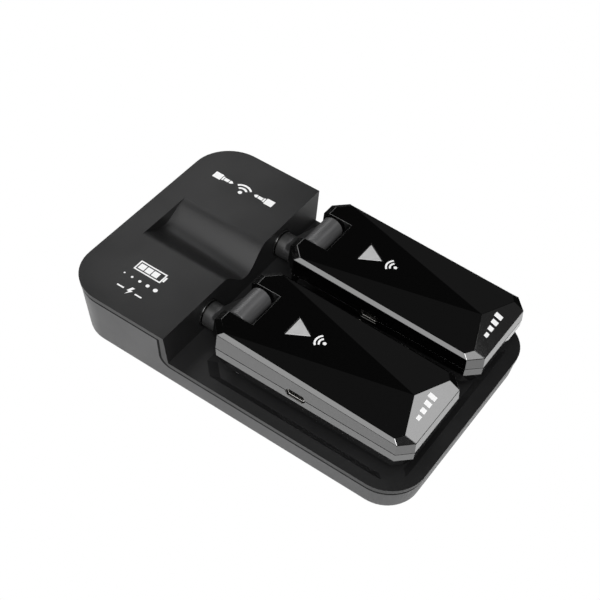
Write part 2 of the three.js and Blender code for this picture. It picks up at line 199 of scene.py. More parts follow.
def mesh_object(name, corners, faces):
    """A mesh object from corners in millimetres; its faces are turned to point outwards."""
    mesh = bpy.data.meshes.new(name)
    mesh.from_pydata([Vector(corner) * MM for corner in corners], [], faces)
    shape = bmesh.new()
    shape.from_mesh(mesh)
    bmesh.ops.remove_doubles(shape, verts=shape.verts, dist=1e-7)
    bmesh.ops.recalc_face_normals(shape, faces=shape.faces)
    shape.to_mesh(mesh)
    shape.free()
    obj = bpy.data.objects.new(name, mesh)
    bpy.context.scene.collection.objects.link(obj)
    return obj


def apply_modifiers(obj):
    """Bakes an object's modifiers into its own mesh."""
    depsgraph = bpy.context.evaluated_depsgraph_get()
    mesh = bpy.data.meshes.new_from_object(obj.evaluated_get(depsgraph))
    old = obj.data
    obj.modifiers.clear()
    obj.data = mesh
    bpy.data.meshes.remove(old)


def combine(obj, tool, operation):
    """Joins, cuts or intersects obj with tool, and removes tool."""
    modifier = obj.modifiers.new("boolean", "BOOLEAN")
    modifier.operation = operation
    modifier.solver = "EXACT"
    modifier.object = tool
    apply_modifiers(obj)
    mesh = tool.data
    bpy.data.objects.remove(tool)
    bpy.data.meshes.remove(mesh)
    return obj


def cut(obj, tool):
    return combine(obj, tool, "DIFFERENCE")


def join(obj, tool):
    return combine(obj, tool, "UNION")


def loft(name, sections):
    """A closed body through sections with the same number of points."""
    count = len(sections[0])
    corners = [point for section in sections for point in section]
    faces = []
    for level in range(len(sections) - 1):
        start = level * count
        for i in range(count):
            j = (i + 1) % count
            faces.append((start + i, start + j, start + count + j, start + count + i))
    last = (len(sections) - 1) * count
    faces.append(tuple(range(count)))
    faces.append(tuple(range(last + count - 1, last - 1, -1)))
    return mesh_object(name, corners, faces)


def at_height(outline, z):
    return [(x, y, z) for x, y in outline]


def prism(name, outline, z0, z1):
    return loft(name, [at_height(outline, z0), at_height(outline, z1)])


def side_prism(name, outline, x0, x1):
    """A prism along X from an outline of (y, z) points."""
    return loft(name, [[(x, y, z) for y, z in outline] for x in (x0, x1)])


def box(name, x0, x1, y0, y1, z0, z1):
    return prism(name, [(x0, y0), (x1, y0), (x1, y1), (x0, y1)], z0, z1)


def turned(name, profile, centre, axis="y", steps=64):
    """A turned piece: (radius, distance) pairs from the axis and back to it."""
    corners = []
    rings = []
    for radius, distance in profile:
        ring = []
        for i in range(1 if radius == 0 else steps):
            angle = 2 * math.pi * i / steps
            a = radius * math.cos(angle)
            b = radius * math.sin(angle)
            offset = {"y": (a, distance, b), "x": (distance, a, b), "z": (a, b, distance)}[axis]
            ring.append(len(corners))
            corners.append([centre[k] + offset[k] for k in range(3)])
        rings.append(ring)
    faces = []
    for first, second in zip(rings, rings[1:] + rings[:1]):
        if len(first) == 1 and len(second) == 1:
            continue
        for i in range(steps):
            j = (i + 1) % steps
            if len(first) == 1:
                faces.append((first[0], second[i], second[j]))
            elif len(second) == 1:
                faces.append((first[i], first[j], second[0]))
            else:
                faces.append((first[i], first[j], second[j], second[i]))
    return mesh_object(name, corners, faces)


def arc(centre_x, centre_y, radius, start, end, steps):
    """Points on an arc, both ends included, with angles in degrees."""
    points = []
    for i in range(steps + 1):
        angle = math.radians(start + (end - start) * i / steps)
        points.append((centre_x + radius * math.cos(angle), centre_y + radius * math.sin(angle)))
    return points


def soften(obj, width, segments=3, angle=30, faceted=False):
    """Rounds the sharp edges; a faceted piece keeps its faces flat, and any other is shaded smoothly."""
    bevel = obj.modifiers.new("edges", "BEVEL")
    bevel.width = width * MM
    bevel.segments = segments
    bevel.limit_method = "ANGLE"
    bevel.angle_limit = math.radians(angle)
    bevel.miter_outer = "MITER_ARC"
    bevel.use_clamp_overlap = True
    if faceted:
        obj.data.shade_smooth()
        bevel.harden_normals = True
        apply_modifiers(obj)
    else:
        apply_modifiers(obj)
        shade(obj)


def shade(obj, angle=40):
    """Smooth shading that keeps the edges over the angle sharp."""
    obj.data.shade_smooth()
    obj.data.set_sharp_from_angle(angle=math.radians(angle))
    weighted = obj.modifiers.new("normals", "WEIGHTED_NORMAL")
    weighted.keep_sharp = True
    weighted.weight = 80
    apply_modifiers(obj)


# ---- materials --------------------------------------------------------------------------------

def new_material(name):
    """A node material, with its nodes, its links and its main shader."""
    material = bpy.data.materials.new(name)
    material.use_nodes = True
    nodes = material.node_tree.nodes
    return material, nodes, material.node_tree.links, nodes["Principled BSDF"]


def noise(nodes, links, scale, detail=2, stretch=(1, 1, 1)):
    """Noise in the object's own metres, stretched per axis."""
    place = nodes.new("ShaderNodeTexCoord")
    mapping = nodes.new("ShaderNodeMapping")
    mapping.inputs["Scale"].default_value = stretch
    texture = nodes.new("ShaderNodeTexNoise")
    texture.inputs["Scale"].default_value = scale
    texture.inputs["Detail"].default_value = detail
    links.new(place.outputs["Object"], mapping.inputs["Vector"])
    links.new(mapping.outputs["Vector"], texture.inputs["Vector"])
    return texture.outputs["Fac"]


def spread(nodes, links, value, low, high):
    """Maps the middle of a noise value to the range from low to high."""
    remap = nodes.new("ShaderNodeMapRange")
    remap.inputs["From Min"].default_value = 0.3
    remap.inputs["From Max"].default_value = 0.7
    remap.inputs["To Min"].default_value = low
    remap.inputs["To Max"].default_value = high
    links.new(value, remap.inputs["Value"])
    return remap.outputs["Result"]


def tint(nodes, links, value, dark, light):
    """Mixes two colours by a noise value."""
    mix = nodes.new("ShaderNodeMix")
    mix.data_type = "RGBA"
    mix.inputs["A"].default_value = (*dark, 1)
    mix.inputs["B"].default_value = (*light, 1)
    links.new(value, mix.inputs["Factor"])
    return mix.outputs["Result"]


def bump(nodes, links, height, strength, distance):
    """Turns a noise value into relief, with its depth in metres."""
    node = nodes.new("ShaderNodeBump")
    node.inputs["Strength"].default_value = strength
    node.inputs["Distance"].default_value = distance
    links.new(height, node.inputs["Height"])
    return node.outputs["Normal"]


def grained_plastic(name, dark, light, roughness, grain=3200, relief=0.12):
    """Moulded plastic with the fine pitted grain of an etched mould."""
    material, nodes, links, shader = new_material(name)
    pits = noise(nodes, links, grain, detail=3)
    patches = noise(nodes, links, 60, detail=4)
    links.new(tint(nodes, links, pits, dark, light), shader.inputs["Base Color"])
    links.new(spread(nodes, links, patches, roughness - 0.04, roughness + 0.04), shader.inputs["Roughness"])
    links.new(bump(nodes, links, pits, relief, 0.00006), shader.inputs["Normal"])
    return material


def gloss_black(name):
    """Polished piano black with the faint waviness of a moulded surface."""
    material, nodes, links, shader = new_material(name)
    wave = noise(nodes, links, 35, detail=1)
    haze = noise(nodes, links, 900, detail=3)
    links.new(tint(nodes, links, haze, (0.0004, 0.0004, 0.0004), (0.0009, 0.0009, 0.0009)),
              shader.inputs["Base Color"])
    links.new(spread(nodes, links, haze, 0.05, 0.08), shader.inputs["Roughness"])
    links.new(bump(nodes, links, wave, 0.03, 0.0006), shader.inputs["Normal"])
    shader.inputs["IOR"].default_value = 1.95
    shader.inputs["Coat Weight"].default_value = 0.6
    shader.inputs["Coat Roughness"].default_value = 0.04
    return material


def streaked_plastic(name, dark, light):
    """Satin plastic with a metallic sheen and fine streaks across the unit."""
    material, nodes, links, shader = new_material(name)
    streaks = noise(nodes, links, 900, detail=3, stretch=(0.12, 1, 1))
    grain = noise(nodes, links, 4200, detail=2)
    links.new(tint(nodes, links, streaks, dark, light), shader.inputs["Base Color"])
    links.new(spread(nodes, links, streaks, 0.38, 0.46), shader.inputs["Roughness"])
    links.new(bump(nodes, links, grain, 0.05, 0.00003), shader.inputs["Normal"])
    shader.inputs["Metallic"].default_value = 0.7
    return material


def plated(name, colour, roughness):
    """Plated metal with fine lengthwise marks."""
    material, nodes, links, shader = new_material(name)
    marks = noise(nodes, links, 2600, detail=2, stretch=(1, 0.15, 1))
    links.new(tint(nodes, links, marks, [c * 0.92 for c in colour], colour), shader.inputs["Base Color"])
    links.new(spread(nodes, links, marks, roughness, roughness + 0.1), shader.inputs["Roughness"])
    links.new(bump(nodes, links, marks, 0.05, 0.00002), shader.inputs["Normal"])
    shader.inputs["Metallic"].default_value = 1
    return material


def light_guide(name):
    """Milky translucent plastic of the lit button."""
    material, nodes, links, shader = new_material(name)
    cloud = noise(nodes, links, 220, detail=3)
    links.new(tint(nodes, links, cloud, (0.34, 0.34, 0.34), (0.44, 0.44, 0.44)), shader.inputs["Base Color"])
    links.new(spread(nodes, links, cloud, 0.32, 0.42), shader.inputs["Roughness"])
    links.new(bump(nodes, links, cloud, 0.05, 0.00005), shader.inputs["Normal"])
    shader.inputs["Subsurface Weight"].default_value = 0.2
    shader.inputs["Subsurface Radius"].default_value = (1, 1, 1)
    shader.inputs["Subsurface Scale"].default_value = 0.001
    return material


def printed_ink(name):
    """Pale pad-printed ink, slightly uneven."""
    material, nodes, links, shader = new_material(name)
    patches = noise(nodes, links, 1500, detail=3)
    links.new(tint(nodes, links, patches, (0.66, 0.66, 0.66), (0.82, 0.82, 0.82)),
              shader.inputs["Base Color"])
    links.new(spread(nodes, links, patches, 0.45, 0.6), shader.inputs["Roughness"])
    links.new(bump(nodes, links, patches, 0.1, 0.00002), shader.inputs["Normal"])
    return material


def soft_rubber(name):
    """Matte black rubber with a fine grain."""
    material, nodes, links, shader = new_material(name)
    grain = noise(nodes, links, 2500, detail=4)
    links.new(tint(nodes, links, grain, (0.002, 0.002, 0.002), (0.005, 0.005, 0.005)),
              shader.inputs["Base Color"])
    links.new(spread(nodes, links, grain, 0.78, 0.9), shader.inputs["Roughness"])
    links.new(bump(nodes, links, grain, 0.2, 0.0001), shader.inputs["Normal"])
    shader.inputs["Specular IOR Level"].default_value = 0.15
    return material


MATERIALS = {
    "charcoal": grained_plastic("charcoal_plastic", (0.005, 0.005, 0.0052), (0.0085, 0.0085, 0.0088), 0.44,
                                relief=0.2),
    "satin_grey": grained_plastic("satin_grey_plastic", (0.028, 0.028, 0.029), (0.04, 0.04, 0.041), 0.4),
    "gloss": gloss_black("gloss_black_plastic"),
    "barrel": streaked_plastic("satin_dark_plastic", (0.14, 0.14, 0.142), (0.2, 0.2, 0.202)),
    # The neck's plastic is a darker copy of the barrel's: painted shade for the nook under the housing's
    # front wall.
    "neck": streaked_plastic("neck_plastic_painted_shade", (0.05, 0.05, 0.051), (0.075, 0.075, 0.076)),
    "nickel": plated("nickel_plate", (0.72, 0.70, 0.67), 0.16),
    "brass": plated("contact_brass", (0.72, 0.55, 0.27), 0.25),
    "steel": plated("screw_steel", (0.52, 0.52, 0.54), 0.3),
    "black": grained_plastic("black_plastic", (0.012, 0.012, 0.012), (0.02, 0.02, 0.02), 0.45),
    "trim": grained_plastic("dark_trim", (0.006, 0.006, 0.006), (0.01, 0.01, 0.01), 0.2, relief=0.03),
    "button": light_guide("light_button"),
    "ink": printed_ink("printed_ink"),
    "rubber": soft_rubber("foot_rubber"),
    "board": grained_plastic("circuit_board", (0.01, 0.07, 0.03), (0.02, 0.1, 0.045), 0.4, grain=900),
    "cell": plated("cell_wrap", (0.5, 0.5, 0.52), 0.35),
}


def settle(piece, body, material, slot, *nodes):
    """Gives a finished piece its material and body, and hides the CAD nodes that it stands for; slot is not
    used.
    """
    piece.data.materials.clear()
    piece.data.materials.append(MATERIALS[material])
    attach(piece, body)
    if nodes:
        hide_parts(*nodes)


# ---- dock -------------------------------------------------------------------------------------

def rounded_outline(half_width, front, rear, radius, steps=14):
    points = arc(half_width - radius, front + radius, radius, -90, 0, steps)
    points += arc(half_width - radius, rear - radius, radius, 0, 90, steps)
    points += arc(radius - half_width, rear - radius, radius, 90, 180, steps)
    points += arc(radius - half_width, front + radius, radius, 180, 270, steps)
    return points


def dock_outline(z, inset=0.0):
    """The dock's outside at a height, with draft on every side."""
    lean = (HOUSING_TOP - z) * DRAFT + inset
    front_at_top = -HALF_LENGTH - (HOUSING_TOP - TRAY_TOP) * DRAFT
    outline = rounded_outline(HALF_WIDTH - lean, front_at_top + lean, HALF_LENGTH - lean,
                              CORNER_RADIUS - lean)
    return at_height(outline, z)


def cover_profile(gap):
    """The cover seen from the side; gap is added where the base stays clear of it."""
    under = TRAY_TOP - COVER - gap
    behind = WALL_TOP_Y + COVER + gap
    lip = HOUSING_TOP - COVER - gap
    bend = arc(behind - SEAM_BEND, under + SEAM_BEND, SEAM_BEND, -90, 0, 8)
    return [(-BEYOND, under)] + bend + [(behind, lip), (BEYOND, lip)]


def scoop_depth(y):
    """Depth of the scoop's deepest line, which rises to the rear."""
    slope = (SCOOP_REAR_DEPTH - SCOOP_FRONT_DEPTH) / (SCOOP_REAR - WALL_TOP_Y)
    return SCOOP_FRONT_DEPTH + slope * (y - WALL_TOP_Y)


def scoop(name, front, rear, half_width, drop, lid):
    """A smooth hollow with soft shoulders, deeper at the front; drop lowers it, and lid is its top."""
    steps = 40
    sections = []
    for y in (front, rear):
        depth = scoop_depth(y)
        section = []
        for i in range(steps + 1):
            across = -1 + 2 * i / steps
            dip = depth * math.cos(across * math.pi / 2) ** 2
            section.append((across * half_width, y, HOUSING_TOP - drop - dip))
        sections.append(section + [(half_width, y, lid), (-half_width, y, lid)])
    return loft(name, sections)


def recess_outline(inset):
    """The shallow recess under the units: round corners in front, chamfers at the rear."""
    half = RECESS_HALF_WIDTH - inset
    front = RECESS_FRONT + inset
    rear = RECESS_REAR - inset
    radius = RECESS_RADIUS
    points = arc(half - radius, front + radius, radius, -90, 0, 10)
    points += [(half, rear - RECESS_CHAMFER), (half - RECESS_CHAMFER, rear)]
    points += [(RECESS_CHAMFER - half, rear), (-half, rear - RECESS_CHAMFER)]
    points += arc(radius - half, front + radius, radius, 180, 270, 10)
    return points


def build_cover():
    """The top cover in one piece: tray, front wall and housing top, with the recess, scoop and two holes."""
    above = HOUSING_TOP + ABOVE_HOUSING
    top = [(BEYOND, above), (WALL_TOP_Y + ABOVE_HOUSING_LEAN, above), (WALL_FOOT_Y, TRAY_TOP),
           (-BEYOND, TRAY_TOP)]
    cover = side_prism("dock_cover_visual", cover_profile(0) + top, -BESIDE, BESIDE)
    combine(cover, loft("outside", [dock_outline(BELOW_SEAM), dock_outline(HOUSING_TOP)]), "INTERSECT")
    join(cover, scoop("trough", front=WALL_TOP_Y + 1, rear=SCOOP_REAR + SCOOP_SKIN,
                      half_width=SCOOP_HALF_WIDTH + 0.5, drop=SCOOP_SKIN, lid=HOUSING_TOP - 1))
    cut(cover, scoop("hollow", front=WALL_FOOT_Y - 2, rear=SCOOP_REAR, half_width=SCOOP_HALF_WIDTH,
                     drop=0, lid=HOUSING_TOP + 1))
    floor = TRAY_TOP - RECESS_DEPTH
    cut(cover, loft("recess", [at_height(recess_outline(RECESS_SLOPE), floor),
                               at_height(recess_outline(0), TRAY_TOP),
                               at_height(recess_outline(0), TRAY_TOP + 1)]))
    for side in (-1, 1):
        hole = [(0, -4), (SOCKET_HOLE, -4), (SOCKET_HOLE, 4), (0, 4)]
        cut(cover, turned("hole", hole, (side * UNIT_OFFSET, WALL_TOP_Y, PLUG_Z)))
    soften(cover, DOCK_EDGE, segments=3, angle=26)
    settle(cover, "dock", "charcoal", "charcoal_plastic", "dock_top_cover")


def build_seam_shade_tongue():
    """The lip between the cover and the base, at the bottom of the seam groove: a real tongue of the shell,
    made black as painted shade of the gap.
    """
    top = [(y, z - 0.01) for y, z in cover_profile(0)]
    bottom = cover_profile(SEAM + TONGUE_OVERLAP)[::-1]
    tongue = side_prism("dock_seam_shade_tongue_visual", top + bottom, -BESIDE, BESIDE)
    outside = loft("outside", [dock_outline(BELOW_SEAM, SEAM_DEPTH), dock_outline(HOUSING_TOP, SEAM_DEPTH)])
    combine(tongue, outside, "INTERSECT")
    cut(tongue, loft("inside", [dock_outline(1, WALL), dock_outline(HOUSING_TOP + 1, WALL)]))
    # Black rubber on the tongue is painted shade: it stands for the shadow in the seam groove.
    settle(tongue, "dock", "rubber", "black_plastic")


def stepped_hole(centre, head, shank, steps=64):
    """The tool for a screw hole from below; head and shank are each a radius and a depth."""
    profile = [(0, -1), (head[0], -1), head, (shank[0], head[1]), shank, (0, shank[1])]
    return turned("screw_hole", profile, centre, "z", steps=steps)


def hollow_base():
    """The empty base tub: drafted walls on a rounded bottom, cut off along the seam."""
    levels = []
    for i in range(7):
        angle = math.radians(90 * i / 6)
        z = BASE_BOTTOM + BOTTOM_ROUND * (1 - math.cos(angle))
        levels.append(dock_outline(z, BOTTOM_ROUND * (1 - math.sin(angle)) + BASE_INSET))
    base = loft("dock_base_visual", levels + [dock_outline(HOUSING_TOP - 1, BASE_INSET)])
    floor = BASE_BOTTOM + WALL
    corner = 1.5
    cut(base, loft("inside", [dock_outline(floor, WALL + corner),
                              dock_outline(floor + corner, WALL + BASE_INSET),
                              dock_outline(HOUSING_TOP + 1, WALL + BASE_INSET)]))
    lid = HOUSING_TOP + ABOVE_HOUSING
    above = cover_profile(SEAM) + [(BEYOND, lid), (-BEYOND, lid)]
    return cut(base, side_prism("above", above, -BESIDE, BESIDE))


def build_base():
    """The base shell, with its foot pockets, screw holes and the hole of the charging port."""
    base = hollow_base()
    for i in range(1, 5):
        low, high = box_mm(f"rubber_foot_{i}")
        radius = (high.x - low.x) / 2 + FOOT_CLEARANCE
        depth = high.z + FOOT_CLEARANCE
        pocket = [(0, -1), (radius, -1), (radius, depth), (0, depth)]
        cut(base, turned("pocket", pocket, on_axis(low, high, 0), "z"))
        centre = on_axis(*box_mm(f"dock_screw_{i}"), 0)
        cut(base, stepped_hole(centre, *DOCK_SCREW_HOLE))
    port_low, port_high = box_mm("dock_usb_receptacle")
    middle = (port_low.z + port_high.z) / 2
    outline = rounded_outline(DOCK_PORT_HALF_WIDTH, middle - DOCK_PORT_HALF_HEIGHT,
                              middle + DOCK_PORT_HALF_HEIGHT, DOCK_PORT_CORNER, 6)
    through = (HALF_LENGTH - 12, HALF_LENGTH + 8)
    cut(base, loft("port", [[(x, y, z) for x, z in outline] for y in through]))
    soften(base, DOCK_EDGE, segments=3, angle=30)
    settle(base, "dock", "satin_grey", "satin_grey_plastic", "dock_base_shell")


def build_sockets():
    """The jack sockets; the thin rim of each stands a little proud of the front wall."""
    for prefix, side in (("tx", -1), ("rx", 1)):
        low, high = box_mm(f"{prefix}_jack_socket")
        length = high.y - low.y
        rim = SOCKET_RADIUS
        profile = [(SOCKET_BORE, 0.8), (SOCKET_BORE + 0.5, 0.3), (rim - 0.6, 0.2), (rim - 0.5, -0.35),
                   (rim - 0.4, -0.5), (rim - 0.25, -0.5), (rim - 0.1, -0.45), (rim, -0.25), (rim, length),
                   (SOCKET_BORE, length)]
        socket = turned(f"{prefix}_socket_visual", profile, (side * UNIT_OFFSET, low.y, PLUG_Z), steps=96)
        shade(socket)
        settle(socket, "dock", "trim", "black_plastic", f"{prefix}_jack_socket")


def build_feet():
    """The rubber feet, with a rounded rim and a slightly hollow sole."""
    for i in range(1, 5):
        node = f"rubber_foot_{i}"
        low, high = box_mm(node)
        radius = (high.x - low.x) / 2
        height = high.z - low.z
        profile = [(0, 0.12), (radius - 1.2, 0.0), (radius - 0.5, 0.0), (radius - 0.12, 0.16),
                   (radius, 0.5), (radius, height), (0, height)]
        pad = turned(f"{node}_visual", profile, on_axis(low, high, low.z), "z")
        shade(pad)
        settle(pad, "dock", "rubber", "foot_rubber", node)


def build_screw(node, body):
    """A pan-head screw seen from below, with a cross recess."""
    low, high = box_mm(node)
    head = (high.x - low.x) / 2
    shank = head * 0.53
    centre = on_axis(low, high, low.z)
    height = high.z - low.z
    profile = [(0, 0), (head * 0.7, 0.02), (head * 0.92, 0.16), (head, 0.4), (head, 0.7), (shank, 0.7),
               (shank, height - 0.8), (shank * 0.4, height), (0, height)]
    screw = turned(f"{node}_visual", profile, centre, "z", steps=32)
    half = head * 0.14
    reach = head * 0.6
    x, y, z = centre
    cut(screw, box("slot", x - reach, x + reach, y - half, y + half, z - 1, z + 0.5))
    cut(screw, box("slot", x - half, x + half, y - reach, y + reach, z - 1, z + 0.5))
    shade(screw)
    settle(screw, body, "steel", "screw_steel", node)


# ---- plug-in units ----------------------------------------------------------------------------

def upper_outside(name, x0, base):
    """The faceted outside of an upper shell: flat centre, two long side facets and a slanted nose.

    The corners are those of the left side, which the right side mirrors.
    """
    left = {
        "crown_rear": (CROWN_REAR_CHAMFER - CROWN_HALF_WIDTH, CROWN_REAR, UNIT_TOP),
        "crown_side": (-CROWN_HALF_WIDTH, CROWN_REAR - CROWN_REAR_CHAMFER, UNIT_TOP),
        "crown_front": CROWN_FRONT,
        "crown_nose": CROWN_NOSE,
        "ring_rear": (REAR_CHAMFER - UNIT_HALF_WIDTH, UNIT_REAR, RING_REAR_Z),
        "ring_side": (-UNIT_HALF_WIDTH, UNIT_REAR - REAR_CHAMFER, RING_REAR_Z),
        "ring_front": (-UNIT_HALF_WIDTH, UNIT_FRONT + FRONT_CHAMFER, RING_Z),
        "ring_nose": (FRONT_CHAMFER - UNIT_HALF_WIDTH, UNIT_FRONT, RING_Z),
        "base_rear": (REAR_CHAMFER - UNIT_HALF_WIDTH - FLARE, UNIT_REAR + FLARE, base),
        "base_side": (-UNIT_HALF_WIDTH - FLARE, UNIT_REAR - REAR_CHAMFER + FLARE, base),
        "base_front": (-UNIT_HALF_WIDTH - FLARE, UNIT_FRONT + FRONT_CHAMFER - FLARE, base),
        "base_nose": (FRONT_CHAMFER - UNIT_HALF_WIDTH - FLARE, UNIT_FRONT - FLARE, base),
    }
    corners = [(x0, APEX_Y, UNIT_TOP)]
    index = {"apex": 0}
    for key, (x, y, z) in left.items():
        for mark, side in (("L", 1), ("R", -1)):
            index[mark + key] = len(corners)
            corners.append((x0 + side * x, y, z))
    one_side = [
        ("crown_side", "crown_front", "crown_nose", "apex"),
        ("crown_nose", "crown_front", "ring_front", "ring_nose"),
        ("crown_front", "crown_side", "ring_side", "ring_front"),
        ("crown_side", "crown_rear", "ring_rear", "ring_side"),
        ("ring_nose", "ring_front", "base_front", "base_nose"),
        ("ring_front", "ring_side", "base_side", "base_front"),
        ("ring_side", "ring_rear", "base_rear", "base_side"),
    ]
    faces = []
    for mark in "LR":
        for face in one_side:
            faces.append([index[key if key == "apex" else mark + key] for key in face])
    across = [
        ("Lcrown_rear", "Lcrown_side", "apex", "Rcrown_side", "Rcrown_rear"),
        ("apex", "Lcrown_nose", "Lring_nose", "Rring_nose", "Rcrown_nose"),
        ("Lcrown_rear", "Rcrown_rear", "Rring_rear", "Lring_rear"),
        ("Lring_rear", "Rring_rear", "Rbase_rear", "Lbase_rear"),
        ("Lring_nose", "Lbase_nose", "Rbase_nose", "Rring_nose"),
        ("Lbase_rear", "Rbase_rear", "Rbase_side", "Rbase_front", "Rbase_nose", "Lbase_nose", "Lbase_front",
         "Lbase_side"),
    ]
    faces += [[index[key] for key in face] for face in across]
    return mesh_object(name, corners, faces)


def chamfered_outline(x0, inset):
    """A unit seen from above: a rectangle with its four corners cut off."""
    half = UNIT_HALF_WIDTH - inset
    front = UNIT_FRONT + inset
    rear = UNIT_REAR - inset
    front_cut = FRONT_CHAMFER - inset * 0.4
    rear_cut = REAR_CHAMFER - inset * 0.4
    right = [(half - front_cut, front), (half, front + front_cut), (half, rear - rear_cut),
             (half - rear_cut, rear)]
    left = [(-x, y) for x, y in reversed(right)]
    return [(x0 + x, y) for x, y in right + left]


def unit_cavity(x0, bottom, top):
    """The room inside both shells, kept off the notch by a wall."""
    room = loft("room", [at_height(chamfered_outline(x0, UNIT_WALL + UNDERCUT), bottom),
                         at_height(chamfered_outline(x0, UNIT_WALL), LAND_Z),
                         at_height(chamfered_outline(x0, UNIT_WALL), top)])
    side = NOTCH_HALF_WIDTH + UNIT_WALL
    wall = box("wall", x0 - side, x0 + side, NOTCH_FRONT - UNIT_WALL, UNIT_REAR + 2, bottom - 1, top + 1)
    return cut(room, wall)


def notch(x0):
    """The open slot at the rear of a unit, where the barrel turns."""
    return box("notch", x0 - NOTCH_HALF_WIDTH, x0 + NOTCH_HALF_WIDTH, NOTCH_FRONT, UNIT_REAR + 2,
               UNIT_BOTTOM - 1, UNIT_TOP + 1)


def port_hole(x0):
    """A stretched hexagon through the left wall of a unit, across the parting line."""
    outline = [(-4.1, 0), (-3.0, 1.75), (3.0, 1.75), (4.1, 0), (3.0, -1.75), (-3.0, -1.75)]
    outside = x0 - UNIT_HALF_WIDTH
    return side_prism("port", [(USB_Y + y, USB_Z + z) for y, z in outline], outside - 2, outside + 6.5)


def button_outline(x0, grow):
    """The triangle of the button, with its sides moved outwards by about grow."""
    half = (button_high.x - button_low.x) / 2 + 1.7 * grow
    base = button_high.y + grow
    return [(x0, button_low.y - 2 * grow), (x0 + half, base), (x0 - half, base)]


def build_upper_shell(prefix, x0):
    """The upper shell, hollow, with the notch, the port's hole and the button's window."""
    upper = upper_outside(f"{prefix}_upper_visual", x0, PARTING_Z + UNIT_GAP)
    cut(upper, unit_cavity(x0, UNIT_BOTTOM + UNIT_WALL, UPPER_ROOM_TOP))
    cut(upper, notch(x0))
    cut(upper, port_hole(x0))
    cut(upper, prism("window", button_outline(x0, WINDOW_GAP), UPPER_ROOM_TOP - 1, UNIT_TOP + 1))
    soften(upper, UPPER_EDGE, segments=3, angle=5, faceted=True)
    settle(upper, f"{prefix}_body", "gloss", "gloss_black_plastic", f"{prefix}_upper_shell")


def build_lower_shell(prefix, x0):
    """The lower shell: a tapering tub below the parting line, with three screws from below."""
    body = f"{prefix}_body"
    lower = loft(f"{prefix}_lower_visual", [
        at_height(chamfered_outline(x0, UNDERCUT), UNIT_BOTTOM),
        at_height(chamfered_outline(x0, -LAND_FLARE), LAND_Z),
        at_height(chamfered_outline(x0, -FLARE), PARTING_Z - UNIT_GAP)])
    cut(lower, unit_cavity(x0, UNIT_BOTTOM + UNIT_WALL, PARTING_Z + 2))
    cut(lower, notch(x0))
    cut(lower, port_hole(x0))
    for i in range(1, 4):
        centre = on_axis(*box_mm(f"{prefix}_screw_{i}"), UNIT_BOTTOM)
        cut(lower, stepped_hole(centre, *UNIT_SCREW_HOLE, steps=32))
    soften(lower, LOWER_EDGE, segments=3, angle=12, faceted=True)
    settle(lower, body, "gloss", "gloss_black_plastic", f"{prefix}_lower_shell")
    for i in range(1, 4):
        build_screw(f"{prefix}_screw_{i}", body)


def build_ring_line(prefix, x0):
    """The fine dark line between the bevelled crown and the walls, slanted as the crown is."""
    slope = (RING_REAR_Z - RING_Z) / (UNIT_REAR - UNIT_FRONT)

    def slanted(inset, rise):
        return [(x, y, RING_Z + slope * (y - UNIT_FRONT) + rise) for x, y in chamfered_outline(x0, inset)]

    line = loft(f"{prefix}_ring_line", [slanted(-LINE_RELIEF, -LINE_DROP - LINE_HEIGHT),
                                        slanted(-LINE_RELIEF, -LINE_DROP)])
    cut(line, loft("inside", [slanted(LINE_DEPTH, -1), slanted(LINE_DEPTH, 1)]))
    cut(line, notch(x0))
    settle(line, f"{prefix}_body", "rubber", "black_plastic")


def build_port(prefix, x0):
    """The small charging receptacle: a thin metal shell around a tongue."""
    low, high = box_mm(f"{prefix}_usb_receptacle")
    front, back = low.x, high.x
    outline = [(3.6, -0.3), (2.8, -1.35), (-2.8, -1.35), (-3.6, -0.3), (-3.6, 1.35), (3.6, 1.35)]
    shell = side_prism(f"{prefix}_port_visual", [(USB_Y + y, USB_Z + z) for y, z in outline], front, back)
    inner = [(USB_Y + y * 0.91, USB_Z + z * 0.78) for y, z in outline]
    cut(shell, side_prism("inner", inner, front - 1, back - 0.4))
    soften(shell, 0.08, segments=2, faceted=True)
    settle(shell, f"{prefix}_body", "nickel", "nickel_plate", f"{prefix}_usb_receptacle")
    tongue = box(f"{prefix}_port_tongue", front + 0.7, back - 0.3, USB_Y - 2.3, USB_Y + 2.3, USB_Z + 0.1,
                 USB_Z + 0.6)
    soften(tongue, 0.1, segments=2, faceted=True)
    settle(tongue, f"{prefix}_body", "satin_grey", "black_plastic")


def build_button(prefix, x0):
    button = prism(f"{prefix}_button_visual", button_outline(x0, 0), button_low.z, button_high.z)
    soften(button, 0.2, segments=3, faceted=True)
    settle(button, f"{prefix}_button", "button", "light_button", f"{prefix}_light_button")


def neck_slab(x0):
    """The straight part of the arm: a rounded bar from the barrel into the collar."""
    end_y = COLLAR_FRONT + ARM_REACH
    ends = [Vector((x0, HINGE_Y, HINGE_Z)), Vector((x0, end_y, PLUG_Z))]
    along = (ends[1] - ends[0]).normalized()
    across = Vector((0, -along.z, along.y)) * ARM_HALF_HEIGHT
    outline = []
    for side, end in ((-1, 0), (-1, 1), (1, 1), (1, 0)):
        point = ends[end] + across * side
        outline.append((point.y, point.z))
    slab = side_prism("slab", outline, x0 - ARM_HALF_WIDTH, x0 + ARM_HALF_WIDTH)
    bevel = slab.modifiers.new("edges", "BEVEL")
    bevel.width = ARM_EDGE * MM
    bevel.segments = 4
    apply_modifiers(slab)
    return slab


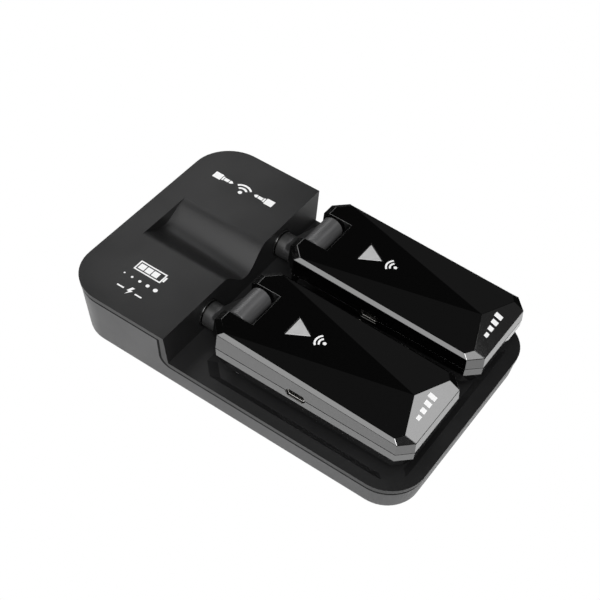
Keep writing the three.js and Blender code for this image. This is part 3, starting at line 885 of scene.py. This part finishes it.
def build_neck(prefix, x0):
    """The arm, blended into the domed front of the collar."""
    length = COLLAR_REAR - COLLAR_FRONT
    radius = COLLAR_RADIUS
    profile = [(0, -DOME_BULGE)]
    for i in range(1, 9):
        angle = math.radians(90 * i / 8)
        drop = (DOME_SHOULDER + DOME_BULGE) * math.cos(angle)
        profile.append((radius * math.sin(angle), DOME_SHOULDER - drop))
    profile += [(radius, length - 0.8), (radius - 0.5, length), (0, length)]
    neck = join(turned("neck", profile, (x0, COLLAR_FRONT, PLUG_Z)), neck_slab(x0))
    remesh = neck.modifiers.new("blend", "REMESH")
    remesh.mode = "VOXEL"
    remesh.voxel_size = 0.2 * MM
    smooth = neck.modifiers.new("blend", "SMOOTH")
    smooth.factor = 0.5
    smooth.iterations = 24
    apply_modifiers(neck)
    neck.name = f"{prefix}_neck_visual"
    neck.data.shade_smooth()
    # Darker plastic than the barrel is painted shade of the nook under the front wall, not a different
    # colour of the arm.
    settle(neck, f"{prefix}_plug", "neck", "satin_dark_plastic")


def build_collar(prefix, x0):
    """The crisp straight rear of the collar, a sleeve round the end of the neck."""
    radius = COLLAR_RADIUS
    length = COLLAR_REAR - COLLAR_MIDDLE
    profile = [(COLLAR_BORE, 0), (radius - 0.25, 0), (radius, 1.2), (radius, length - 0.1),
               (radius - 0.1, length), (COLLAR_BORE, length)]
    collar = turned(f"{prefix}_collar_visual", profile, (x0, COLLAR_MIDDLE, PLUG_Z), steps=96)
    shade(collar)
    # Black plastic on the collar is painted shade: the collar is darkened for the shadow under the housing's
    # front wall.
    settle(collar, f"{prefix}_plug", "black", "satin_dark_plastic")


def build_barrel(prefix, x0):
    """The hinge barrel, a tube on the hinge pin with rounded ends."""
    half = BARREL_HALF_LENGTH
    radius = BARREL_RADIUS
    profile = [(BARREL_BORE, -half), (radius - 0.4, -half), (radius - 0.1, -half + 0.12),
               (radius, -half + 0.4), (radius, half - 0.4), (radius - 0.1, half - 0.12),
               (radius - 0.4, half), (BARREL_BORE, half)]
    barrel = turned(f"{prefix}_barrel_visual", profile, (x0, HINGE_Y, HINGE_Z), "x", steps=96)
    shade(barrel)
    settle(barrel, f"{prefix}_plug", "barrel", "satin_dark_plastic", f"{prefix}_plug_arm")


def build_plug(prefix, x0):
    """The plug: a long sleeve, an insulating ring, and a waisted tip on a rod through both."""
    body = f"{prefix}_plug"
    start = (x0, COLLAR_REAR, PLUG_Z)
    radius = PLUG_RADIUS
    gap = 0.1
    sleeve_end = PLUG_SLEEVE - 0.05
    sleeve = [(1.6, gap), (radius - 0.2, gap), (radius, gap + 0.25), (radius, PLUG_SLEEVE - 0.2),
              (radius - 0.2, sleeve_end), (1.6, sleeve_end)]
    ring_start = PLUG_SLEEVE + gap
    ring_end = PLUG_SLEEVE + INSULATOR_LENGTH + 0.2
    ring = [(1.3, ring_start), (radius - 0.1, ring_start), (radius - 0.1, ring_end), (1.3, ring_end)]
    head = ring_end + 0.2
    tip = [(0, 1.2), (1, 1.2), (1, head), (2.6, head), (2.75, head + 0.2), (2.3, head + 1.2),
           (2.05, head + 2), (2.1, head + 2.5), (2.6, head + 3.2), (3.05, head + 3.8), (3.1, head + 4.2),
           (2.8, head + 4.8), (1.9, PLUG_LENGTH - 0.6), (1.1, PLUG_LENGTH - 0.1), (0, PLUG_LENGTH)]
    for name, profile, material, slot in (
            ("plug_sleeve", sleeve, "nickel", "nickel_plate"),
            ("plug_insulator", ring, "black", "black_plastic"),
            ("plug_tip", tip, "nickel", "nickel_plate")):
        piece = turned(f"{prefix}_{name}_visual", profile, start)
        shade(piece)
        settle(piece, body, material, slot, f"{prefix}_{name}")


# ---- printed marks: plain symbols in place of lettering ----------------------------------------

def ring_sector(inner, outer, start, end, steps=16):
    """A piece of a flat ring round the origin, between two angles in degrees."""
    return arc(0, 0, outer, start, end, steps) + arc(0, 0, inner, end, start, steps)


def print_mark(name, shapes, origin, right, up, body):
    """Flat ink shapes on a surface: each shape is an outline in the surface's own right and up."""
    right = Vector(right).normalized()
    up = Vector(up).normalized()
    out = right.cross(up)
    corners = []
    faces = []
    for outline in shapes:
        count = len(outline)
        start = len(corners)
        for lift in (INK_GAP, INK_HEIGHT):
            corners += [Vector(origin) + right * a + up * b + out * lift for a, b in outline]
        faces.append(list(range(start, start + count)))
        faces.append(list(range(start + 2 * count - 1, start + count - 1, -1)))
        for i in range(count):
            j = (i + 1) % count
            faces.append((start + i, start + j, start + count + j, start + count + i))
    mark = mesh_object(name, corners, faces)
    settle(mark, body, "ink", "printed_ink")


def wave_symbol(size):
    """Two arcs over a dot: the usual sign for a radio link."""
    shapes = [arc(0, 0, 0.18 * size, 0, 345, 23)]
    for radius in (0.62, 1.0):
        shapes.append(ring_sector((radius - 0.19) * size, radius * size, 42, 138))
    return shapes


def bar_symbol(width, height, count=4):
    """A row of upright bars that grow taller to the right."""
    step = width / count
    shapes = []
    for i in range(count):
        left = -width / 2 + i * step
        tall = height * (0.45 + 0.55 * i / (count - 1))
        shapes.append([(left, 0), (left + step * 0.62, 0), (left + step * 0.62, tall), (left, tall)])
    return shapes


def block(left, right, low, high):
    return [(left, low), (right, low), (right, high), (left, high)]


def moved(shapes, across, up=0, flip=1):
    return [[(across + flip * a, up + b) for a, b in outline] for outline in shapes]


def plug_symbol():
    """A plug seen from the side, pointing right."""
    point = [(7.9, -0.75), (8.7, -0.75), (9.6, 0), (8.7, 0.75), (7.9, 0.75)]
    return [block(0.6, 4.2, -1.6, 1.6), block(4.5, 5.2, -1.05, 1.05), block(5.5, 7.6, -0.75, 0.75), point]


def battery_symbol(width, height, line=0.55):
    """A battery outline with three charge bars."""
    side = width / 2
    tall = height / 2
    shapes = [block(-side, side, tall - line, tall), block(-side, side, -tall, line - tall),
              block(-side, line - side, line - tall, tall - line),
              block(side - line, side, line - tall, tall - line),
              block(side + 0.15, side + 0.9, -tall / 2, tall / 2)]
    bar = (width - 2 * line) / 4.2
    for i in range(3):
        left = line - side + 0.5 + i * (bar + 0.4)
        shapes.append(block(left, left + bar, 1.1 - tall, tall - 1.1))
    return shapes


def print_on_housing(name, shapes, place):
    """Prints a mark on the housing so that it reads from the left side of the dock."""
    print_mark(name, shapes, (*place, HOUSING_TOP), (0, -1, 0), (1, 0, 0), "dock")


def build_dock_marks():
    """Two plugs with a radio link between them, a battery, a row of level dots and a charge sign."""
    plugs = moved(plug_symbol(), -14.5) + moved(plug_symbol(), 14.5, flip=-1)
    print_on_housing("dock_link_mark", plugs + moved(wave_symbol(4.6), 0, -2.3), LINK_MARK)
    print_on_housing("dock_battery_mark", battery_symbol(12, 4.8), BATTERY_MARK)
    dots = [moved([arc(0, 0, 0.35 + 0.13 * i, 0, 330, 11)], -7 + 3.5 * i)[0] for i in range(5)]
    print_on_housing("dock_level_mark", dots, LEVEL_MARK)
    bolt = [(-0.2, 2.0), (1.0, 2.0), (0.3, 0.5), (1.2, 0.5), (-0.6, -2.0), (-0.1, -0.2), (-1.0, -0.2)]
    dashes = [block(-5.5, -2.5, -0.3, 0.3), block(2.5, 5.5, -0.3, 0.3)]
    print_on_housing("dock_charge_mark", [bolt] + dashes, CHARGE_MARK)


def build_unit_marks(prefix, x0):
    """The radio link sign behind the button, and the growing bars on the nose."""
    body = f"{prefix}_body"
    place = (x0, UNIT_LINK_MARK_Y, UNIT_TOP)
    print_mark(f"{prefix}_link_mark", wave_symbol(3.7), place, (1, 0, 0), (0, 1, 0), body)
    slope = Vector((0, UNIT_FRONT - APEX_Y, RING_Z - UNIT_TOP)).normalized()
    middle = Vector((x0, APEX_Y, UNIT_TOP)) + slope * NOSE_MARK_FROM_APEX
    print_mark(f"{prefix}_nose_mark", bar_symbol(13, 3), middle, (1, 0, 0), -slope, body)


# ---- the carried-over CAD nodes get real materials ---------------------------------------------

def finish_inner_nodes():
    """Boards, batteries, ports, pins and contacts keep their CAD shape, with small bevels."""
    looks = {
        "dock_circuit_board": "board", "dock_battery_cell": "cell", "dock_usb_receptacle": "nickel",
        "circuit_board": "board", "battery_cell": "cell", "antenna": "brass",
        "button_switch": "black", "hinge_pin": "steel", "tip_contact": "brass",
    }
    for node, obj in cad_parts.items():
        short = node.split("_", 1)[1] if node[:3] in ("tx_", "rx_") else node
        if short not in looks:
            continue
        obj.data.materials.clear()
        obj.data.materials.append(MATERIALS[looks[short]])
        bevel = obj.modifiers.new("edges", "BEVEL")
        bevel.width = 0.12 * MM
        bevel.segments = 2


# ---- assembly ---------------------------------------------------------------------------------

def build_dock():
    build_cover()
    build_seam_shade_tongue()
    build_base()
    build_sockets()
    build_feet()
    for i in range(1, 5):
        build_screw(f"dock_screw_{i}", "dock")


def build_unit(prefix, x0):
    """A transmitter or receiver: both have the same form."""
    build_upper_shell(prefix, x0)
    build_lower_shell(prefix, x0)
    build_ring_line(prefix, x0)
    build_port(prefix, x0)
    build_button(prefix, x0)
    build_neck(prefix, x0)
    build_collar(prefix, x0)
    build_barrel(prefix, x0)
    build_plug(prefix, x0)
    build_unit_marks(prefix, x0)


# ---- floor, light and camera -------------------------------------------------------------------

WORLD_FILL = 0.15
WORLD_GLOSS = 0.012
FLOOR_HALF_SIZE = 4000
CARD_HEIGHT = 1000

CAMERA_AZIMUTH = -59.1
CAMERA_ELEVATION = 47.76
CAMERA_ROLL = 5.54
CAMERA_DISTANCE = 476
CAMERA_TARGET = (6.75, 5.05, 14.4)
CAMERA_LENS = 78.0


def matte_paint(name, grey, roughness):
    """Plain paint for the floor and the screens of the studio."""
    material, _, _, shader = new_material(name)
    shader.inputs["Base Color"].default_value = (grey, grey, grey, 1)
    shader.inputs["Roughness"].default_value = roughness
    return material


def build_floor():
    """A pale floor that lights and reflects, but lets the camera see the white studio behind it."""
    size = FLOOR_HALF_SIZE
    corners = [(-size, -size, 0), (size, -size, 0), (size, size, 0), (-size, size, 0)]
    floor = mesh_object("studio_floor", corners, [(0, 1, 2, 3)])
    floor.data.materials.append(matte_paint("pale_floor", 0.86, 0.8))
    floor.visible_camera = False


def area_light(name, place, target, width, height, radiance, gloss_only=False):
    """A softbox at a place in millimetres, facing its target; gloss_only cards only show in reflections."""
    lamp = bpy.data.lights.new(name, "AREA")
    lamp.shape = "RECTANGLE"
    lamp.size = width * MM
    lamp.size_y = height * MM
    lamp.energy = radiance * math.pi * lamp.size * lamp.size_y
    obj = bpy.data.objects.new(name, lamp)
    obj.location = Vector(place) * MM
    obj.rotation_euler = (Vector(target) - Vector(place)).to_track_quat("-Z", "Y").to_euler()
    obj.visible_camera = False
    obj.visible_diffuse = not gloss_only
    bpy.context.scene.collection.objects.link(obj)


def overhead_card(name, x0, x1, y0, y1, radiance):
    """A level card above the object that only shows in reflections."""
    x = (x0 + x1) / 2
    y = (y0 + y1) / 2
    area_light(name, (x, y, CARD_HEIGHT), (x, y, 0), x1 - x0, y1 - y0, radiance, gloss_only=True)


def build_world():
    """White to the camera, a soft fill for matte surfaces, and almost black in reflections."""
    world = bpy.data.worlds.new("studio")
    world.use_nodes = True
    nodes = world.node_tree.nodes
    links = world.node_tree.links
    path = nodes.new("ShaderNodeLightPath")
    gloss = nodes.new("ShaderNodeMapRange")
    gloss.inputs["To Min"].default_value = WORLD_FILL
    gloss.inputs["To Max"].default_value = WORLD_GLOSS
    links.new(path.outputs["Is Glossy Ray"], gloss.inputs["Value"])
    seen = nodes.new("ShaderNodeMix")
    seen.inputs["B"].default_value = 1
    links.new(path.outputs["Is Camera Ray"], seen.inputs["Factor"])
    links.new(gloss.outputs["Result"], seen.inputs["A"])
    links.new(seen.outputs["Result"], nodes["Background"].inputs["Strength"])
    nodes["Background"].inputs["Color"].default_value = (1, 1, 1, 1)
    bpy.context.scene.world = world


def build_flag(name, x0, y0, x1, y1, height):
    """A black screen beside the object: it keeps the far floor out of the rear facets, as in a studio."""
    corners = [(x0, y0, 0), (x1, y1, 0), (x1, y1, height), (x0, y0, height)]
    flag = mesh_object(name, corners, [(0, 1, 2, 3)])
    flag.data.materials.append(matte_paint("black_screen", 0.01, 0.9))
    flag.visible_camera = False
    flag.visible_diffuse = False
    flag.visible_shadow = False


def build_lights():
    """Softboxes that light the object, and cards that each set the brightness of one reflection."""
    area_light("key_softbox", place=(-740, -440, 1090), target=(0, 0, 0), width=780, height=900, radiance=12)
    area_light("side_softbox", place=(-1000, 380, 190), target=(0, 0, 30), width=600, height=360,
               radiance=2.3)
    area_light("housing_softbox", place=(92, 124, 140), target=(92, 124, 0), width=160, height=80,
               radiance=1.6)
    area_light("strip_card", place=(-700, 330, 640), target=(0, 0, 30), width=620, height=620, radiance=2.2,
               gloss_only=True)
    overhead_card("left_facet_card", x0=200, x1=560, y0=60, y1=620, radiance=0.028)
    overhead_card("right_facet_card", x0=1080, x1=1600, y0=120, y1=640, radiance=0.04)
    overhead_card("tx_chamfer_card", x0=-300, x1=-98, y0=-650, y1=-440, radiance=0.1)
    overhead_card("rx_chamfer_card", x0=-94, x1=70, y0=-650, y1=-440, radiance=2.4)
    overhead_card("tx_nose_card", x0=590, x1=817, y0=-600, y1=-370, radiance=3.0)
    overhead_card("rx_nose_card", x0=821, x1=1060, y0=-600, y1=-370, radiance=0.1)


def build_camera():
    """The camera looks at its target from an azimuth and elevation, and is rolled about its own axis."""
    azimuth = math.radians(CAMERA_AZIMUTH)
    elevation = math.radians(CAMERA_ELEVATION)
    roll = math.radians(CAMERA_ROLL)
    back = Vector((math.sin(azimuth) * math.cos(elevation), -math.cos(azimuth) * math.cos(elevation),
                   math.sin(elevation)))
    right = (-back).cross(Vector((0, 0, 1))).normalized()
    up = right.cross(-back)
    turned_right = right * math.cos(roll) + up * math.sin(roll)
    turned_up = up * math.cos(roll) - right * math.sin(roll)
    data = bpy.data.cameras.new("camera")
    data.sensor_width = 36
    data.lens = CAMERA_LENS
    data.clip_start = 0.02
    data.clip_end = 20
    camera = bpy.data.objects.new("camera", data)
    place = (Vector(CAMERA_TARGET) + back * CAMERA_DISTANCE) * MM
    axes = Matrix((turned_right, turned_up, back)).transposed()
    camera.matrix_world = Matrix.Translation(place) @ axes.to_4x4()
    bpy.context.scene.collection.objects.link(camera)
    bpy.context.scene.camera = camera


build_dock()
for unit_prefix, unit_side in (("tx", -1), ("rx", 1)):
    build_unit(unit_prefix, unit_side * UNIT_OFFSET)
build_dock_marks()
finish_inner_nodes()

build_floor()
build_world()
build_flag("rear_flag", x0=-320, y0=190, x1=420, y1=190, height=110)
build_flag("right_flag", x0=125, y0=40, x1=125, y1=160, height=45)
build_lights()
build_camera()
bpy.context.scene.view_settings.view_transform = "Standard"
